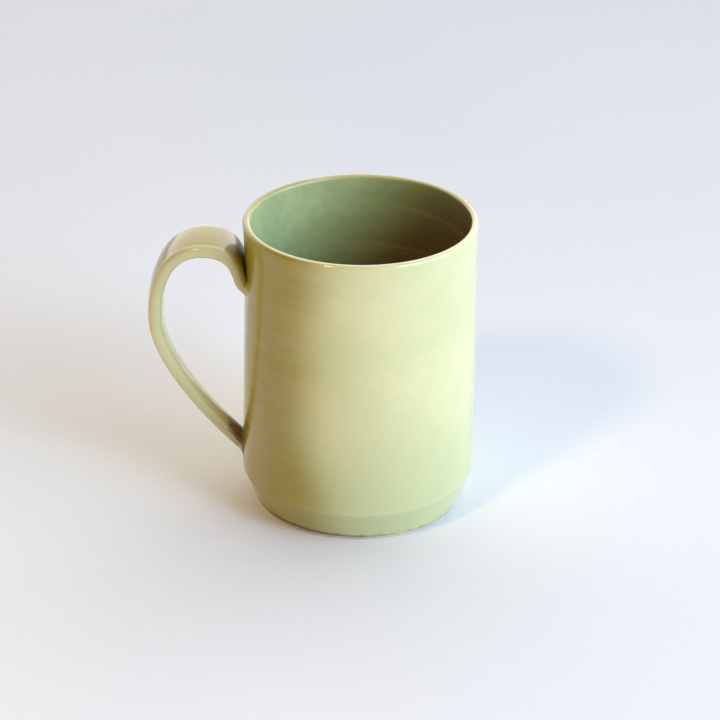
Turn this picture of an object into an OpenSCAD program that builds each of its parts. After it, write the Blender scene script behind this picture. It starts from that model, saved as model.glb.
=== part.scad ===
// Handled stoneware mug: a thrown cup on a bevelled foot, with a pulled strap handle stuck on
// with slip, and celadon glaze over everything but the foot. Millimetres, +Z up, handle to -X.
// The origin is the centre of the foot, on the table.

/* [Cup] */
// Height of the mug, from the table to the top of the lip
mug_h = 108; // [104:1:114]
// Outside radius of the glazed wall at the shoulder, above the bevelled foot
shoulder_r = 41.7; // [41.3:0.1:42.6]
// Outside radius of the glazed wall where it starts to flare to the lip
neck_r = 40.9; // [40.6:0.1:41.8]
// Outside radius of the glazed lip
rim_r = 41.6; // [41:0.1:42.4]
// Height at which the wall starts to flare
flare_z = 86; // [80:1:90]
// Inside radius of the glazed cylindrical bore
bore_r = 38.3; // [37.6:0.1:38.6]
// Width of the rounded glazed lip
lip_w = 2.8; // [2.4:0.1:3.2]
// Height at which the bore opens towards the lip
bore_top_z = 90; // [84:1:96]
// Height of the inside floor above the table
floor_z = 7; // [6.4:0.1:9]
// Radius of the curve between the inside floor and the wall
floor_fillet = 12; // [6:1:18]

/* [Foot] */
// Radius of the foot where the bevel would meet the table
foot_r = 36.6; // [34.6:0.2:38]
// Height of the shoulder, where the bevel meets the wall
shoulder_z = 12.5; // [10:0.1:13.5]
// Rounding of the shoulder
shoulder_round = 3; // [2:0.5:4]
// Width of the ring that stands on the table
foot_ring_w = 6.5; // [5:0.5:9]
// Depth of the trimmed hollow inside the foot ring
recess_d = 1.8; // [1:0.1:2.4]
// Height of the bare clay band between the table and the glaze
bare_h = 1.3; // [1:0.1:2]

/* [Glaze] */
// Thickness of the glaze coats
glaze_t = 0.35; // [0.25:0.05:0.45]

/* [Handle path] */
// Height at which the middle of the strap meets the wall, upper end
upper_z = 85.4; // [84:0.2:87]
// Lean of the strap from upright as it leaves the wall
upper_lean = 46; // [38:1:52]
// How firmly the strap holds that lean
upper_pull = 3.8; // [2.6:0.2:5]
// Distance of the crown, the top of the arch, from the mug's axis
crown_out = 55; // [53:0.1:57]
// Height of the middle of the strap at the crown
crown_z = 98.7; // [97.5:0.1:100.5]
// How flat the crown is, on the side of the wall
crown_pull_in = 13.2; // [10:0.2:14]
// How flat the crown is, on the outer side
crown_pull_out = 9.9; // [7:0.1:12]
// Greatest distance of the middle of the strap from the mug's axis
reach_out = 72.4; // [70:0.1:76]
// Height at which the strap is furthest out
reach_z = 71.3; // [68:0.1:75]
// How straight the strap is above its furthest point
reach_pull_up = 18.7; // [14:0.1:22]
// How straight the strap is below its furthest point
reach_pull_down = 20; // [16:0.2:24]
// Height at which the middle of the strap meets the wall, lower end
lower_z = 20.8; // [20:0.1:24]
// Lean of the strap from upright as it comes back to the wall
lower_lean = 47; // [40:1:52]
// How firmly the strap holds that lean
lower_pull = 7.6; // [2:0.2:11]

/* [Handle section] */
// Width of the strap at the upper joint
strap_w_top = 22.4; // [18:0.2:23.6]
// Width of the strap over its lower quarter
strap_w_low = 7.8; // [7.4:0.1:12]
// Share by which the strap is pinched narrower at the upper joint
root_pinch = 0.14; // [0:0.02:0.2]
// Thickness of the strap at the upper joint
strap_t_top = 4.4; // [3.8:0.1:5]
// Thickness of the strap at the lower joint
strap_t_low = 5.2; // [4:0.1:5.6]
// Height of the soft crown across the strap's two faces
strap_crown = 0.35; // [0.1:0.05:0.5]

/* [Joints] */
// Reach of the upper slip fillet along the wall and along the strap
upper_fillet = 1.7; // [1.4:0.1:2.6]
// Reach of the lower slip fillet
lower_fillet = 2.2; // [1.6:0.1:2.6]
// Thickness of the slip pad between the strap's end and the wall
pad_t = 0.6; // [0.4:0.1:0.8]

/* [Hidden] */
$fn = 96;

lip_rad = lip_w / 2;
lip_out = rim_r - lip_rad;
lip_z = mug_h - lip_rad;
// angle round the lip, from straight out, at which the outside coat gives way to the liner
lip_seam = 140;
foot_round = 0.8;
ring_in_r = foot_r - foot_ring_w;
bevel_lean = atan((shoulder_r - foot_r) / shoulder_z);
wall_lean = atan((shoulder_r - neck_r) / (flare_z - shoulder_z));
// numbers of steps: round the lip, along a flare, round the shoulder and the floor curve
LIP_STEPS = 6;
FLARE_STEPS = 4;
ROUND_STEPS = 4;
FLOOR_STEPS = 8;

// ---- cup outline: [radius, height] points, at a depth d under the glazed surface ----

// outside radius of the glazed wall at height z, between the shoulder and the lip
function wall_r(z) =
    let (line = shoulder_r - (z - shoulder_z) * tan(wall_lean))
    let (rise = max(0, (z - flare_z) / (lip_z - flare_z)))
    line + (rim_r - shoulder_r + (lip_z - shoulder_z) * tan(wall_lean)) * rise * rise;

function bevel_at(h, d) = [
    foot_r + h * tan(bevel_lean) - d * cos(bevel_lean),
    h + d * sin(bevel_lean)
];

function arc_points(c, r, from, to, steps) =
    [for (i = [0 : steps]) let (a = from + (to - from) * i / steps) c + r * [cos(a), sin(a)]];

function shoulder_arc(d) =
    let (reach = shoulder_round * tan((bevel_lean + wall_lean) / 2))
    let (touch = [shoulder_r, shoulder_z] + reach * [-sin(wall_lean), cos(wall_lean)])
    let (centre = touch - shoulder_round * [cos(wall_lean), sin(wall_lean)])
    arc_points(centre, shoulder_round - d, -bevel_lean, wall_lean, ROUND_STEPS);

function flare_points(d) =
    [for (i = [0 : FLARE_STEPS]) let (z = flare_z + (lip_z - flare_z) * i / FLARE_STEPS) [wall_r(z) - d, z]];

function lip_arc(d, from, to, steps) = arc_points([lip_out, lip_z], lip_rad - d, from, to, steps);

// the outside, from the lower edge of the glaze up and over the lip to the liner's edge
function outside(d) = concat(
    [bevel_at(bare_h, d)],
    shoulder_arc(d),
    [for (i = [0 : FLARE_STEPS - 1]) flare_points(d)[i]],
    lip_arc(d, 0, lip_seam, LIP_STEPS)
);

// the inside of the lip opens by a shallow curve from the bore
function mouth_points(d) =
    [for (i = [0 : FLARE_STEPS])
        let (rise = 1 - i / FLARE_STEPS)
        [bore_r + (lip_out - lip_rad - bore_r) * rise * rise + d, bore_top_z + (lip_z - bore_top_z) * rise]];

// the inside, from the liner's edge down the bore and across the floor to the axis
function inside(d) = concat(
    lip_arc(d, lip_seam, 180, 2),
    [for (i = [1 : FLARE_STEPS]) mouth_points(d)[i]],
    arc_points([bore_r - floor_fillet, floor_z + floor_fillet], floor_fillet + d, 0, -90, FLOOR_STEPS),
    [[0, floor_z - d]]
);

function reversed(list) = [for (i = [len(list) - 1 : -1 : 0]) list[i]];

// ---- clay cup ----

// rounded outer edge of the foot, from the table up to the bare bevel
function foot_edge() =
    let (out = foot_r + (foot_round * sin(bevel_lean) - foot_round - glaze_t) / cos(bevel_lean))
    arc_points([out, foot_round], foot_round, -90, -bevel_lean, ROUND_STEPS);

module mug_body() {
    color([0.80, 0.74, 0.62])
    rotate_extrude()
    polygon(concat(
        [[0, recess_d], [ring_in_r - recess_d, recess_d], [ring_in_r, 0]],
        foot_edge(),
        outside(glaze_t),
        [for (p = inside(glaze_t)) if (p != inside(glaze_t)[0]) p]
    ));
}

// ---- strap path: three joined Bezier curves, in [distance from the axis, height] ----

upper_dir = [sin(upper_lean), cos(upper_lean)];
lower_dir = [-sin(lower_lean), -cos(lower_lean)];
upper_end = [wall_r(upper_z), upper_z];
crown = [crown_out, crown_z];
reach = [reach_out, reach_z];
lower_end = [wall_r(lower_z), lower_z];
strap_curves = [
    [upper_end, upper_end + upper_pull * upper_dir, crown - [crown_pull_in, 0], crown],
    [crown, crown + [crown_pull_out, 0], reach + [0, reach_pull_up], reach],
    [reach, reach - [0, reach_pull_down], lower_end - lower_pull * lower_dir, lower_end]
];
// numbers of stations along each curve
CURVE_STEPS = [4, 8, 9];

function bezier(p, t) =
    pow(1 - t, 3) * p[0] + 3 * t * pow(1 - t, 2) * p[1] + 3 * t * t * (1 - t) * p[2] + pow(t, 3) * p[3];

function bezier_rate(p, t) =
    3 * pow(1 - t, 2) * (p[1] - p[0]) + 6 * t * (1 - t) * (p[2] - p[1]) + 3 * t * t * (p[3] - p[2]);

function curve_of(u) = max(0, min(2, floor(u)));

// the path runs from u = 0 to u = 3, and goes on straight past both ends
function path_at(u) =
    u < 0 ? strap_curves[0][0] + u * bezier_rate(strap_curves[0], 0) :
    u > 3 ? strap_curves[2][3] + (u - 3) * bezier_rate(strap_curves[2], 1) :
    bezier(strap_curves[curve_of(u)], u - curve_of(u));

function path_rate(u) = bezier_rate(strap_curves[curve_of(u)], max(0, min(3, u)) - curve_of(u));

function path_normal(u) = let (v = path_rate(u)) [-v[1], v[0]] / norm(v);

// how far along the strap u lies, from 0 to 1, by the lengths of the chords
curve_len = [for (c = strap_curves) norm(c[3] - c[0])];
strap_len = curve_len[0] + curve_len[1] + curve_len[2];
function along(u) =
    let (k = curve_of(u), t = max(0, min(3, u)) - k)
    ((k > 0 ? curve_len[0] : 0) + (k > 1 ? curve_len[1] : 0) + t * curve_len[k]) / strap_len;

// the u at which the pinch at the upper joint has run out
pinch_end = 0.8;
// the strap narrows smoothly over its first three quarters
function strap_w(u) =
    let (ease = (1 + cos(180 * min(1, along(u) / 0.75))) / 2)
    let (pinch = 1 - root_pinch * pow(max(0, 1 - max(0, u) / pinch_end), 2))
    (strap_w_low + (strap_w_top - strap_w_low) * ease) * pinch;

function strap_t(u) = strap_t_top + (strap_t_low - strap_t_top) * along(u);

// ---- strap section: a flat bar with round edges and softly crowned faces ----

EDGE_STEPS = 3;
FACE_STEPS = 6;
edge_share = 0.8;

// one quarter turn of the section, as [corner x sign, corner y sign, start angle]
QUARTERS = [[1, 1, 0], [-1, 1, 90], [-1, -1, 180], [1, -1, 270]];

function face_points(a, b, r, side) =
    [for (i = [1 : FACE_STEPS - 1])
        let (x = side * (a - r) * (1 - 2 * i / FACE_STEPS))
        [x, side * (b + strap_crown * (1 - pow(x / (a - r), 2)))]];

// points round the section at u, standing g off the clay, as [across the strap, out of the loop]
function section(u, g) =
    let (a = strap_w(u) / 2, b = strap_t(u) / 2 - strap_crown, r = edge_share * b)
    [for (q = [0 : 3])
        let (s = QUARTERS[q])
        each concat(
            [for (i = [0 : EDGE_STEPS])
                let (t = s[2] + 90 * i / EDGE_STEPS)
                [s[0] * (a - r) + (r + g) * cos(t), s[1] * (b - r) + (r + g) * sin(t)]],
            q == 0 ? face_points(a, b + g, r, 1) : q == 2 ? face_points(a, b + g, r, -1) : []
        )];

RING_N = len(section(1, 0));
RING = [0 : RING_N - 1];

// point j of the section at u
function strap_at(u, j, g) =
    let (s = section(u, g)[j], p = path_at(u) + s[1] * path_normal(u))
    [-p[0], s[0], p[1]];

// ---- where each line of the strap meets the cup ----

// how far a point stands off the clay wall
function off_wall(p) = norm([p[0], p[1]]) - (wall_r(p[2]) - glaze_t);

// u at which line j of the strap is d off the clay wall, by halving between a (inside) and b (outside)
function meets_wall(j, g, d, a, b, steps) =
    let (m = (a + b) / 2)
    steps == 0 ? m :
    off_wall(strap_at(m, j, g)) < d ? meets_wall(j, g, d, m, b, steps - 1) :
    meets_wall(j, g, d, a, m, steps - 1);

HALVINGS = 18;
WALK_STEPS = 8;
// for the upper and the lower end: a u well inside the wall, a u well clear of it, the way from one
// to the other, and the fillet's reach
INSIDE_U = [-2.4, 4.6];
CLEAR_U = [0.9, 2.6];
WAY = [1, -1];
FILLET = [upper_fillet, lower_fillet];

function root_u(e, j, g, d) = meets_wall(j, g, d, INSIDE_U[e], CLEAR_U[e], HALVINGS);

wall_u = [for (e = [0, 1]) [for (j = RING) root_u(e, j, 0, 0)]];
glazed_u = [for (e = [0, 1]) [for (j = RING) root_u(e, j, glaze_t, glaze_t)]];
pad_u = [for (e = [0, 1]) [for (j = RING) root_u(e, j, 0, pad_t)]];
// the u one step after another along the path from u
function walk(u, step, steps) = steps == 0 ? u : walk(u + step / norm(path_rate(u)), step, steps - 1);

// where the fillet runs out on the strap
fillet_u = [for (e = [0, 1]) [for (j = RING) walk(wall_u[e][j], WAY[e] * FILLET[e] / WALK_STEPS, WALK_STEPS)]];

// the wall unrolled: [way round, height, radius]
unroll_r = neck_r;
function unroll(p) = [unroll_r * asin(p[1] / norm([p[0], p[1]])) * PI / 180, p[2], norm([p[0], p[1]])];
function roll(q) = let (a = q[0] / unroll_r * 180 / PI) [-q[2] * cos(a), q[2] * sin(a), q[1]];

// the footprint of the fillet on the unrolled wall: the joint's outline moved out by the fillet's reach
function flat_root(e, j) =
    let (q = unroll(strap_at(wall_u[e][(j + RING_N) % RING_N], (j + RING_N) % RING_N, 0)))
    [q[0], q[1]];

function footprint(e, j) =
    let (t = flat_root(e, j + 1) - flat_root(e, j - 1))
    flat_root(e, j) + WAY[e] * FILLET[e] * [t[1], -t[0]] / norm(t);

function mean(list) = [for (j = RING) 1] * list / RING_N;
prints = [for (e = [0, 1]) [for (j = RING) footprint(e, j)]];
print_mid = [for (e = [0, 1]) mean(prints[e])];

// a footprint point on the wall, d off the clay, keeping its place across the mug
function on_wall(q, d) =
    let (r = wall_r(q[1]) - glaze_t, y = r * sin(q[0] / unroll_r * 180 / PI))
    [-sqrt(pow(r + d, 2) - y * y), y, q[1]];

// ---- rings of points: every solid of the handle is a stack of them ----

FILLET_STEPS = 5;
ROOT_STEPS = 2;
// numbers of rings between each fillet and the first station clear of the wall
GAP_STEPS = [7, 3];
CAP_STEPS = 4;
// roundness of the fillet's curve
fillet_pull = 0.62;
// a short way back along the path, to aim the fillet along the strap
tangent_u = 0.01;

function print_ring(e, d) = [for (j = RING) on_wall(prints[e][j], d)];

// fillet from the wall (t = 0) to the strap (t = 1), standing g off the clay
function fillet_at(e, j, g, t) =
    let (foot = unroll(on_wall(prints[e][j], g)))
    let (corner = unroll(strap_at(g > 0 ? glazed_u[e][j] : wall_u[e][j], j, g)))
    let (top = unroll(strap_at(fillet_u[e][j], j, g)))
    let (back = unroll(strap_at(fillet_u[e][j] - WAY[e] * tangent_u, j, g)) - top)
    let (pull = fillet_pull * norm(corner - top))
    roll(bezier([foot, foot + fillet_pull * (corner - foot), top + pull * back / norm(back), top], t));

function fillet_ring(e, g, i) = [for (j = RING) fillet_at(e, j, g, i / FILLET_STEPS)];

// rings on the strap between two u values that differ from line to line
function between_ring(from, to, share, g) =
    [for (j = RING) strap_at(from[j] + (to[j] - from[j]) * share, j, g)];

function station_ring(u, g) = [for (j = RING) strap_at(u, j, g)];

clear_u = [for (e = [0, 1]) [for (j = RING) CLEAR_U[e]]];
stations = [for (k = [0 : 2]) for (i = [1 : CURVE_STEPS[k]])
    let (u = k + i / CURVE_STEPS[k]) if (u > CLEAR_U[0] && u < CLEAR_U[1]) u];

// the end of the strap, and the faces of the slip pad: rings closing on the middle of the joint
function cap_ring(e, ring, d, share) =
    [for (p = ring) let (q = unroll(p), m = print_mid[e] + share * ([q[0], q[1]] - print_mid[e])) on_wall(m, d)];

function cap_rings(e, ring, d) = [for (i = [1 : CAP_STEPS - 1]) cap_ring(e, ring, d, i / CAP_STEPS)];

// the strap's surface from its end at joint e up to the clear station
function root_rings(e) = [for (i = [0 : ROOT_STEPS]) between_ring(pad_u[e], fillet_u[e], i / ROOT_STEPS, 0)];
function gap_rings(e, g) =
    [for (i = [1 : GAP_STEPS[e]]) between_ring(fillet_u[e], clear_u[e], i / GAP_STEPS[e], g)];

// two triangles between neighbouring rings, split along the shorter diagonal
function quad(points, a, b, i, j) =
    norm(points[a + j] - points[b + i]) < norm(points[a + i] - points[b + j])
    ? [[a + j, a + i, b + i], [a + j, b + i, b + j]]
    : [[a + j, a + i, b + j], [a + i, b + i, b + j]];

function strips(points, first, last, rings) =
    [for (k = [first : last]) for (j = RING)
        each quad(points, k * RING_N, (k + 1) % rings * RING_N, (j + 1) % RING_N, j)];

// a stack of rings closed at both ends by a point
module ring_stack(rings, first, last) {
    m = len(rings);
    points = concat([for (r = rings) each r], [first, last]);
    end = (m - 1) * RING_N;
    caps = [for (j = RING) let (i = (j + 1) % RING_N)
        each [[m * RING_N, i, j], [m * RING_N + 1, end + j, end + i]]];
    polyhedron(points = points, faces = concat(strips(points, 0, m - 2, m), caps));
}

// a stack of rings whose last ring joins its first
module ring_loop(rings) {
    m = len(rings);
    points = [for (r = rings) each r];
    polyhedron(points = points, faces = strips(points, 0, m - 1, m));
}

// ---- handle and its joints ----

module handle() {
    upper = root_rings(0);
    lower = root_rings(1);
    color([0.78, 0.71, 0.58])
    ring_stack(
        concat(
            cap_rings(0, upper[0], pad_t),
            upper,
            gap_rings(0, 0),
            [for (u = stations) station_ring(u, 0)],
            reversed(gap_rings(1, 0)),
            reversed(lower),
            reversed(cap_rings(1, lower[0], pad_t))
        ),
        on_wall(print_mid[0], pad_t),
        on_wall(print_mid[1], pad_t)
    );
}

// slip pad and fillet: out along the wall, over the fillet, back down the strap and across its end
function joint_rings(e) =
    let (root = root_rings(e), foot = print_ring(e, 0))
    concat(
        cap_rings(e, foot, 0),
        [for (i = [0 : FILLET_STEPS]) fillet_ring(e, 0, i)],
        [for (i = [ROOT_STEPS - 1 : -1 : 0]) root[i]],
        reversed(cap_rings(e, root[0], pad_t))
    );

module upper_joint() {
    color([0.72, 0.64, 0.50])
    ring_stack(joint_rings(0), on_wall(print_mid[0], 0), on_wall(print_mid[0], pad_t));
}

module lower_joint() {
    color([0.72, 0.64, 0.50])
    ring_stack(reversed(joint_rings(1)), on_wall(print_mid[1], pad_t), on_wall(print_mid[1], 0));
}

// ---- glaze coats ----

// a window through the outside coat where a joint is stuck to bare clay
module joint_window(e) {
    rotate([0, -90, 0])
    linear_extrude(height = reach_out)
    polygon([for (p = print_ring(e, 0)) [p[2], p[1]]]);
}

module outer_glaze() {
    color([0.80, 0.82, 0.60])
    difference() {
        rotate_extrude() polygon(concat(outside(0), reversed(outside(glaze_t))));
        joint_window(0);
        joint_window(1);
    }
}

module liner_glaze() {
    color([0.58, 0.71, 0.53])
    rotate_extrude() polygon(concat(inside(0), reversed(inside(glaze_t))));
}

// the coat over the strap and both fillets, standing g off the clay, from one footprint to the other
function coat_rings(g) = concat(
    [for (i = [0 : FILLET_STEPS]) fillet_ring(0, g, i)],
    gap_rings(0, g),
    [for (u = stations) station_ring(u, g)],
    reversed(gap_rings(1, g)),
    [for (i = [FILLET_STEPS : -1 : 0]) fillet_ring(1, g, i)]
);

module handle_glaze() {
    color([0.79, 0.79, 0.55])
    ring_loop(concat(coat_rings(glaze_t), reversed(coat_rings(0))));
}

mug_body();
handle();
upper_joint();
lower_joint();
outer_glaze();
liner_glaze();
handle_glaze();
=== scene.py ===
import math

import bmesh
import bpy
import numpy as np
from mathutils import Matrix, Vector


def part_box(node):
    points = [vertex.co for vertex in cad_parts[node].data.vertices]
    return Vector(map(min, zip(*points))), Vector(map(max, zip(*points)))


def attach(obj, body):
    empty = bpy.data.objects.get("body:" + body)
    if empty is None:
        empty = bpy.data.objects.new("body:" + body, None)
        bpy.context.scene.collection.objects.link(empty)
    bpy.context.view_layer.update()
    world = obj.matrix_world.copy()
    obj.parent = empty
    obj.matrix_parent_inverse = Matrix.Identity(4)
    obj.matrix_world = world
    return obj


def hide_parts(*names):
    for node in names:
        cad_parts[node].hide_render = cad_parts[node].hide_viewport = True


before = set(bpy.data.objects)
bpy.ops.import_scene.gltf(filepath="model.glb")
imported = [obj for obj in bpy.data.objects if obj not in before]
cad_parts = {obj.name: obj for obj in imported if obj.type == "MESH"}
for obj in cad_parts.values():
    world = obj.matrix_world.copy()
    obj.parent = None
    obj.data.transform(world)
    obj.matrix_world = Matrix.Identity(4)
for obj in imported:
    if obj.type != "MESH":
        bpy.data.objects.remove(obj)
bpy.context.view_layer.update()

# The celadon mug: every CAD node is stood for by a finer piece of the same shape, built here from
# the same driving sizes, in millimetres, and placed in the frame's own metres.
MM = 0.001

# ---- sizes, in millimetres, as in the CAD ----
MUG_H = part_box("outer_glaze")[1].z / MM
SHOULDER_R, SHOULDER_Z, SHOULDER_ROUND = 41.7, 12.5, 3.0
NECK_R, FLARE_Z = 40.9, 86.0
RIM_R, LIP_W = 41.6, 2.8
BORE_R, BORE_TOP_Z = 38.3, 90.0
FLOOR_Z, FLOOR_FILLET = 7.0, 12.0
FOOT_R, FOOT_RING_W, FOOT_ROUND, RECESS_D, BARE_H = 36.6, 6.5, 0.8, 1.8, 1.3
GLAZE_T = 0.35
LIP_SEAM = math.radians(140)

# The strap's path: its two ends on the wall, its highest point and its farthest point.
UPPER_Z, UPPER_LEAN, UPPER_PULL = 85.4, 46.0, 3.8
CROWN, CROWN_PULL_IN, CROWN_PULL_OUT = (55.0, 98.7), 13.2, 9.9
REACH, REACH_PULL_UP, REACH_PULL_DOWN = (72.4, 71.3), 18.7, 20.0
LOWER_Z, LOWER_LEAN, LOWER_PULL = 20.8, 47.0, 7.6
# The strap's width and thickness, narrowing over its length and pinched at the upper end.
STRAP_W_TOP, STRAP_W_LOW = 22.4, 7.8
NARROW_SHARE, ROOT_PINCH, PINCH_END = 0.75, 0.14, 0.8
STRAP_T_TOP, STRAP_T_LOW = 4.4, 5.2
STRAP_CROWN, EDGE_SHARE = 0.35, 0.8
# The upper and the lower fillet, and the slip pads under the strap's ends.
FILLET = (1.7, 2.2)
FILLET_PULL = 0.62
PAD_T = 0.6

LIP_RAD = LIP_W / 2
LIP_OUT = RIM_R - LIP_RAD
LIP_Z = MUG_H - LIP_RAD
RING_IN_R = FOOT_R - FOOT_RING_W
BEVEL_LEAN = math.atan((SHOULDER_R - FOOT_R) / SHOULDER_Z)
WALL_LEAN = math.atan((SHOULDER_R - NECK_R) / (FLARE_Z - SHOULDER_Z))

# ---- resolution of the visible meshes ----
COLUMNS = 256
# Steps on a corner, a broad side and a narrow side of the strap's section.
ARC_N, FACE_N, EDGE_N = 8, 24, 8
RING_N = 4 * ARC_N + 2 * FACE_N + 2 * EDGE_N
PATCH_COLS, PATCH_ROWS = FACE_N + ARC_N, EDGE_N + ARC_N


# ---- cup profile ----

def wall_r(z):
    """Outside radius of the glazed wall at height z, above the shoulder."""
    z = np.asarray(z, float)
    slope = math.tan(WALL_LEAN)
    rise = np.maximum(0, (z - FLARE_Z) / (LIP_Z - FLARE_Z))
    return SHOULDER_R - (z - SHOULDER_Z) * slope + (
        RIM_R - SHOULDER_R + (LIP_Z - SHOULDER_Z) * slope
    ) * rise**2


def arc(centre, radius, start, end, steps):
    a = np.linspace(start, end, steps + 1)
    return np.stack([centre[0] + radius * np.cos(a), centre[1] + radius * np.sin(a)], 1)


def bevel_at(h, d):
    """Points of the bevel at height h, d inside its face."""
    h = np.asarray(h, float)
    return np.stack(
        [
            FOOT_R + h * math.tan(BEVEL_LEAN) - d * math.cos(BEVEL_LEAN),
            h + d * math.sin(BEVEL_LEAN),
        ],
        -1,
    )


def shoulder_arc(d, steps):
    """The rounding between bevel and wall, d inside the glazed face."""
    reach = SHOULDER_ROUND * math.tan((BEVEL_LEAN + WALL_LEAN) / 2)
    up_wall = np.array([-math.sin(WALL_LEAN), math.cos(WALL_LEAN)])
    touch = np.array([SHOULDER_R, SHOULDER_Z]) + reach * up_wall
    centre = touch - SHOULDER_ROUND * np.array([math.cos(WALL_LEAN), math.sin(WALL_LEAN)])
    return arc(centre, SHOULDER_ROUND - d, -BEVEL_LEAN, WALL_LEAN, steps)


def foot_edge(steps):
    """The clay's small rounding between the sole and the bevel."""
    out = FOOT_R + (FOOT_ROUND * math.sin(BEVEL_LEAN) - FOOT_ROUND - GLAZE_T) / math.cos(BEVEL_LEAN)
    return arc((out, FOOT_ROUND), FOOT_ROUND, -math.pi / 2, -BEVEL_LEAN, steps)


def mouth_points(d, steps):
    """The inside of the wall from the lip down to the straight bore."""
    rise = 1 - np.linspace(0, 1, steps + 1)
    r = BORE_R + (LIP_OUT - LIP_RAD - BORE_R) * rise**2 + d
    return np.stack([r, BORE_TOP_Z + (LIP_Z - BORE_TOP_Z) * rise], 1)


# ---- strap path, in [distance from the axis, height] ----

def direction(lean, sign):
    """A unit step away from the wall, lean degrees off upright, up for +1 and down for -1."""
    return sign * np.array([math.sin(math.radians(lean)), math.cos(math.radians(lean))])


UPPER_END = np.array([float(wall_r(UPPER_Z)), UPPER_Z])
LOWER_END = np.array([float(wall_r(LOWER_Z)), LOWER_Z])
UPPER_HOLD = UPPER_END + UPPER_PULL * direction(UPPER_LEAN, 1)
LOWER_HOLD = LOWER_END - LOWER_PULL * direction(LOWER_LEAN, -1)
STRAP_CURVES = np.array([
    [UPPER_END, UPPER_HOLD, CROWN - np.array([CROWN_PULL_IN, 0]), CROWN],
    [CROWN, CROWN + np.array([CROWN_PULL_OUT, 0]), REACH + np.array([0, REACH_PULL_UP]), REACH],
    [REACH, REACH - np.array([0, REACH_PULL_DOWN]), LOWER_HOLD, LOWER_END],
])
CURVE_LEN = np.linalg.norm(STRAP_CURVES[:, 3] - STRAP_CURVES[:, 0], axis=1)


def bezier(p, t):
    t = t[..., None]
    s = 1 - t
    return s**3 * p[0] + 3 * t * s**2 * p[1] + 3 * t * t * s * p[2] + t**3 * p[3]


def strap_curve(u):
    """For u from 0 to 3: its curve's control points, the place along it, and its number."""
    k = np.clip(np.floor(u), 0, 2).astype(int)
    return np.moveaxis(STRAP_CURVES[k], -2, 0), np.clip(u, 0, 3) - k, k


def path_rate(u):
    """Speed of the path along u."""
    p, t, _ = strap_curve(u)
    t = t[..., None]
    s = 1 - t
    return 3 * s**2 * (p[1] - p[0]) + 6 * t * s * (p[2] - p[1]) + 3 * t * t * (p[3] - p[2])


def path_at(u):
    """A point of the path, which goes on straight beyond both ends."""
    p, t, _ = strap_curve(u)
    beyond = np.where(u < 0, u, np.where(u > 3, u - 3, 0))[..., None]
    return bezier(p, t) + beyond * path_rate(u)


def along(u):
    """Share of the strap's length up to u, by the chords of its curves."""
    _, t, k = strap_curve(u)
    before = np.concatenate([[0], np.cumsum(CURVE_LEN)])[k]
    return (before + t * CURVE_LEN[k]) / CURVE_LEN.sum()


def strap_w(u):
    ease = (1 + np.cos(np.pi * np.minimum(1, along(u) / NARROW_SHARE))) / 2
    pinch = 1 - ROOT_PINCH * np.maximum(0, 1 - np.maximum(0, u) / PINCH_END) ** 2
    return (STRAP_W_LOW + (STRAP_W_TOP - STRAP_W_LOW) * ease) * pinch


def strap_t(u):
    return STRAP_T_TOP + (STRAP_T_LOW - STRAP_T_TOP) * along(u)


# ---- strap section: a flat bar with round edges and crowned faces ----

ROUND, FACE, EDGE = 0, 1, 2


def section_plan():
    """For each point round the section: corner signs, angle, share along a side, and its kind.

    The kinds are ROUND for a corner, FACE for a broad side and EDGE for a narrow one.
    """
    rows = []
    for q, (sx, sy) in enumerate([(1, 1), (-1, 1), (-1, -1), (1, -1)]):
        rows += [(sx, sy, math.pi / 2 * (q + i / ARC_N), 0, ROUND) for i in range(ARC_N + 1)]
        n, kind = (FACE_N, FACE) if q % 2 == 0 else (EDGE_N, EDGE)
        rows += [(sx, sy, 0, i / n, kind) for i in range(1, n)]
    return np.array(rows, float)


PLAN = section_plan()
J = np.arange(RING_N)


def section(u, g, j=J):
    """Points round the section at u, g off the clay: across the strap, and out of the loop."""
    sx, sy, t, share, kind = PLAN[j % RING_N].T
    a, b = strap_w(u) / 2, strap_t(u) / 2 - STRAP_CROWN
    r = EDGE_SHARE * b
    x = sx * (a - r) + (r + g) * np.cos(t)
    y = sy * (b - r) + (r + g) * np.sin(t)
    fx = sx * (a - r) * (1 - 2 * share)
    fy = sy * (b + g + STRAP_CROWN * (1 - (fx / (a - r)) ** 2))
    ex, ey = sx * (a + g), sy * (b - r) * (1 - 2 * share)
    return np.stack([np.where(kind == FACE, fx, np.where(kind == EDGE, ex, x)),
                     np.where(kind == FACE, fy, np.where(kind == EDGE, ey, y))], -1)


def strap_at(u, g, j=J):
    """Points of the strap's skin in space, g off the clay."""
    u = np.broadcast_to(np.asarray(u, float), np.shape(j))
    s, v = section(u, g, j), path_rate(u)
    v = v / np.linalg.norm(v, axis=-1, keepdims=True)
    p = path_at(u) + s[..., 1:] * np.stack([-v[..., 1], v[..., 0]], -1)
    return np.stack([-p[..., 0], s[..., 0], p[..., 1]], -1)


# ---- where the strap meets the cup: joint 0 is the upper one, joint 1 the lower ----

# Along u: a place inside the wall, a place clear of it, and the way from the joint to the strap.
INSIDE_U, CLEAR_U, WAY = (-2.4, 4.6), (0.9, 2.6), (1, -1)
HALVINGS, WALK_STEPS, TANGENT_U = 30, 16, 0.01
UNROLL_R = NECK_R


def meets_wall(e, g, d):
    """Where the lines along the strap, g off it, come within d of the clay wall, by halving."""
    lo, hi = np.full(RING_N, INSIDE_U[e], float), np.full(RING_N, CLEAR_U[e], float)
    for _ in range(HALVINGS):
        mid = (lo + hi) / 2
        p = strap_at(mid, g)
        inside = np.hypot(p[:, 0], p[:, 1]) - (wall_r(p[:, 2]) - GLAZE_T) < d
        lo, hi = np.where(inside, mid, lo), np.where(inside, hi, mid)
    return mid


def walk(u, distance):
    """Goes a distance along the path from u."""
    for _ in range(WALK_STEPS):
        u = u + distance / WALK_STEPS / np.linalg.norm(path_rate(u), axis=-1)
    return u


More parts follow.
